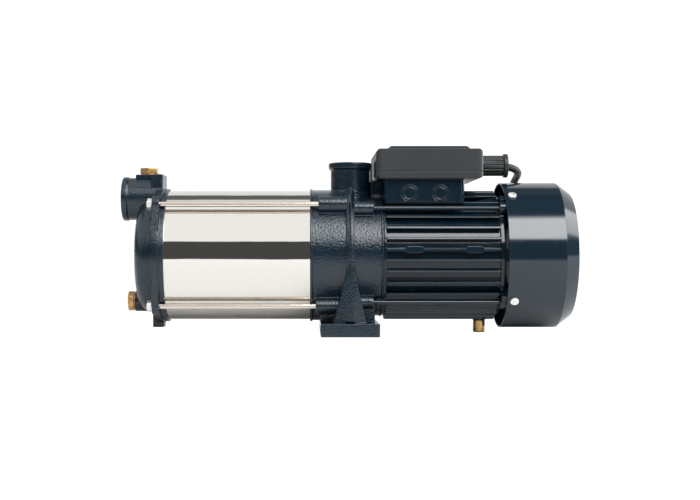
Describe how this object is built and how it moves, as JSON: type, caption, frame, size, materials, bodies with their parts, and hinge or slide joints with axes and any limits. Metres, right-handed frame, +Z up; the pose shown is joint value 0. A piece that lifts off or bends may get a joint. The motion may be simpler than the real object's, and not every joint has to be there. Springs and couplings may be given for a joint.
{
  "type": "surface pump",
  "caption": "Horizontal multistage surface pump with a finned electric motor, threaded suction and discharge ports, one bolt-down foot and a mains lead.",
  "frame": {"origin": "on the floor under the shaft, at the middle of the foot plate and of its two bolt holes", "axes": "+X along the shaft from the pump to the motor, +Y across to the side away from the picture, +Z up"},
  "size_m": [0.4639, 0.3127, 0.1824],
  "materials": {
    "cast_paint": "glossy dark blue paint over rough castings",
    "frame_paint": "glossy dark blue paint over a cast aluminium frame",
    "sheet_paint": "semi-gloss dark blue paint on pressed sheet steel",
    "polished_steel": "mirror polished stainless steel",
    "plated_steel": "bright zinc plated steel",
    "ground_steel": "ground and machined steel",
    "core_steel": "stacked electrical steel sheets",
    "brass": "turned brass",
    "copper": "copper",
    "black_plastic": "moulded black plastic",
    "fan_plastic": "moulded black plastic",
    "stage_plastic": "moulded glass filled plastic",
    "pale_plastic": "pale moulded plastic",
    "ceramic": "lapped ceramic",
    "carbon": "carbon and steel",
    "rubber": "black rubber",
    "cable_rubber": "black rubber sheath"
  },
  "bodies": {
    "root": {"suction_cover": "cast_paint", "barrel": "polished_steel", "barrel_front_seal": "rubber", "barrel_rear_seal": "rubber", "tie_rods": "plated_steel", "tie_rod_nuts": "plated_steel", "pump_bracket": "cast_paint", "stage_casing_1": "stage_plastic", "stage_casing_2": "stage_plastic", "stage_casing_3": "stage_plastic", "stage_casing_4": "stage_plastic", "stage_casing_5": "stage_plastic", "seal_seat": "ceramic", "front_bearing_outer": "ground_steel", "rear_bearing_outer": "ground_steel", "wave_washer": "plated_steel", "motor_frame": "frame_paint", "stator_core": "core_steel", "stator_windings": "copper", "rear_shield": "frame_paint", "motor_bolts": "plated_steel", "support_pin": "brass", "fan_cover": "sheet_paint", "fan_cover_screws": "plated_steel", "terminal_box_tray": "black_plastic", "terminal_box_gasket": "rubber", "terminal_box_cover": "black_plastic", "terminal_cover_screws": "plated_steel", "run_capacitor": "pale_plastic", "terminal_block": "pale_plastic", "gland_body": "black_plastic", "gland_seal": "rubber", "gland_nut": "black_plastic", "power_cable": "cable_rubber", "cord_hank": "cable_rubber", "cord_tie": "black_plastic", "mains_plug": "black_plastic"},
    "rotor": {"pump_shaft": "ground_steel", "impeller_1": "stage_plastic", "impeller_2": "stage_plastic", "impeller_3": "stage_plastic", "impeller_4": "stage_plastic", "impeller_5": "stage_plastic", "shaft_spacers": "plated_steel", "impeller_nut": "brass", "seal_head": "carbon", "seal_spring": "plated_steel", "slinger": "rubber", "front_bearing_inner": "ground_steel", "rear_bearing_inner": "ground_steel", "rotor_core": "core_steel", "cooling_fan": "fan_plastic", "fan_clip": "plated_steel"},
    "front_balls": {"front_bearing_balls": "polished_steel"},
    "rear_balls": {"rear_bearing_balls": "polished_steel"},
    "fill_washer": {"fill_plug_washer": "copper"},
    "fill_screw": {"fill_plug": "brass"},
    "drain_washer": {"drain_plug_washer": "copper"},
    "drain_screw": {"drain_plug": "brass"}
  },
  "joints": [
    {"name": "shaft_spin", "type": "hinge", "parent": "root", "child": "rotor", "pos_m": [0.082, 0, 0.077], "axis": [1, 0, 0], "continuous": true},
    {"name": "front_balls_roll", "type": "hinge", "parent": "root", "child": "front_balls", "pos_m": [0.0265, 0, 0.077], "axis": [1, 0, 0], "continuous": true},
    {"name": "rear_balls_roll", "type": "hinge", "parent": "root", "child": "rear_balls", "pos_m": [0.1455, 0, 0.077], "axis": [1, 0, 0], "continuous": true},
    {"name": "fill_plug_lift", "type": "slide", "parent": "root", "child": "fill_washer", "axis": [0, 0, 1], "range_m": [0, 0.012]},
    {"name": "fill_plug_turn", "type": "hinge", "parent": "fill_washer", "child": "fill_screw", "pos_m": [-0.1985, 0, 0.1568], "axis": [0, 0, 1], "range_deg": [0, 3240]},
    {"name": "drain_plug_draw", "type": "slide", "parent": "root", "child": "drain_washer", "axis": [-1, 0, 0], "range_m": [0, 0.012]},
    {"name": "drain_plug_turn", "type": "hinge", "parent": "drain_washer", "child": "drain_screw", "pos_m": [-0.2124, 0, 0.0312], "axis": [-1, 0, 0], "range_deg": [0, 3240]}
  ],
  "couplings": [
    {"joint": "front_balls_roll", "follows": "shaft_spin", "ratio": 0.384},
    {"joint": "rear_balls_roll", "follows": "shaft_spin", "ratio": 0.384},
    {"joint": "fill_plug_turn", "follows": "fill_plug_lift", "rad_per_m": 4699.5},
    {"joint": "drain_plug_turn", "follows": "drain_plug_draw", "rad_per_m": 4699.5}
  ]
}
